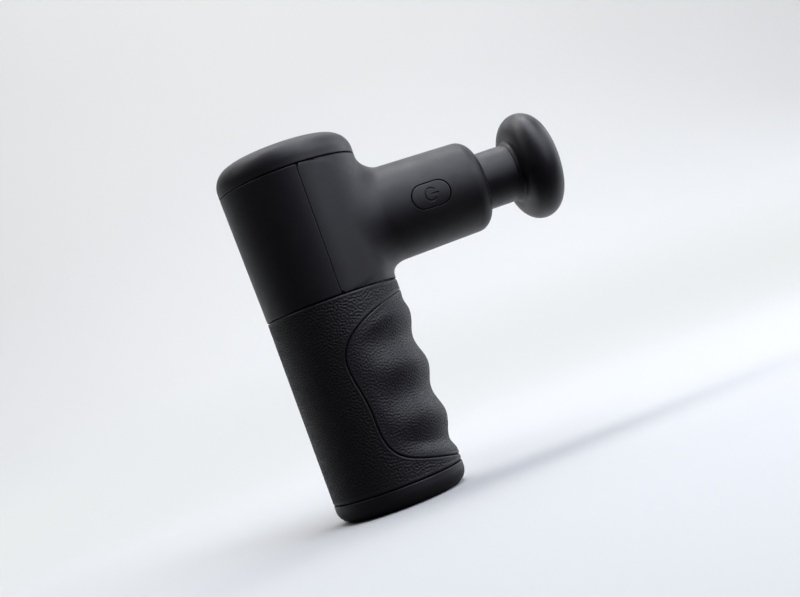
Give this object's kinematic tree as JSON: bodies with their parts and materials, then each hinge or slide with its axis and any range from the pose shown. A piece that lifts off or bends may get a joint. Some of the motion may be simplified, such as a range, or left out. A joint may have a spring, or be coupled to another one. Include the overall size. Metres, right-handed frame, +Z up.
{
  "type": "handheld massage gun",
  "caption": "Pocket percussion massage gun with a leather-grained grip, a side barrel with a power button and a pull-off flat disc head driven by an internal crank.",
  "frame": {"origin": "centre of the base's resting face", "axes": "+Z up the body's axis, +X along the barrel toward the massage head, power button on the -Y side"},
  "size_m": [0.1132, 0.048, 0.1264],
  "materials": {
    "shell": "soft-touch matte charcoal black",
    "grip": "black elastomer with a fine leather grain",
    "button": "satin charcoal black",
    "head": "satin charcoal black",
    "frame_plastic": "glass-filled moulded plastic",
    "piston": "smooth acetal, slightly waxy",
    "acetal": "natural acetal, machined",
    "seal": "matte black nitrile",
    "ring": "matte dark red silicone",
    "aluminium": "machined",
    "steel": "ground and polished",
    "laminations": "stacked silicon-steel laminations",
    "magnet": "nickel-plated sintered magnet",
    "copper": "enamelled copper windings",
    "circuit_board": "green solder mask",
    "components": "moulded black packages",
    "cell_wrap": "blue shrink sleeve over a metal can",
    "tray": "moulded natural nylon",
    "lead_red": "silicone-insulated wire",
    "lead_yellow": "silicone-insulated wire"
  },
  "bodies": {
    "housing": {"top_cap": "shell", "rear_housing": "shell", "front_housing": "shell", "bottom_cap": "shell", "grip_sleeve": "grip", "finger_pad": "grip", "chassis_tube": "frame_plastic", "rear_bush": "acetal", "front_bush": "acetal", "barrel_seal": "seal", "tact_switch": "components", "switch_board": "circuit_board", "motor_plate": "aluminium", "shaft_bearings": "steel", "stator_core": "laminations", "stator_windings": "copper", "control_board": "circuit_board", "control_chips": "components", "board_screws": "steel", "charge_board": "circuit_board", "charge_chips": "components", "usb_port": "steel", "battery_cell_left": "cell_wrap", "battery_cell_right": "cell_wrap", "lower_cell_tray": "tray", "upper_cell_tray": "tray", "cell_straps": "steel", "battery_leads": "lead_red", "phase_wires": "lead_yellow", "frame_screws": "steel"},
    "rotor": {"motor_shaft": "steel", "rotor_bell": "steel", "rotor_magnets": "magnet", "crank_wheel": "steel", "crank_pin": "steel"},
    "rod": {"connecting_rod": "aluminium", "rod_bearing": "steel", "wrist_pin": "steel"},
    "piston_body": {"piston": "piston"},
    "head": {"massage_head": "head", "head_core": "acetal", "head_ring": "ring"},
    "button": {"power_button": "button"}
  },
  "joints": [
    {"name": "rotor_spin", "type": "hinge", "parent": "housing", "child": "rotor", "pos_m": [0, 0, 0.0933], "axis": [0, 0, 1], "continuous": true},
    {"name": "rod_swing", "type": "hinge", "parent": "rotor", "child": "rod", "pos_m": [-0.0045, 0, 0.0933], "axis": [0, 0, 1], "continuous": true},
    {"name": "piston_slide", "type": "slide", "parent": "housing", "child": "piston_body", "axis": [1, 0, 0], "range_m": [0, 0.009]},
    {"name": "head_release", "type": "slide", "parent": "piston_body", "child": "head", "axis": [1, 0, 0], "range_m": [0, 0.02]},
    {"name": "button_press", "type": "slide", "parent": "housing", "child": "button", "axis": [0, 1, 0], "range_m": [0, 0.0004], "stiffness_N_per_m": 1500, "springref_m": -0.0004}
  ],
  "couplings": [
    {"joint": "rod_swing", "follows": "rotor_spin", "ratio": -1}
  ]
}
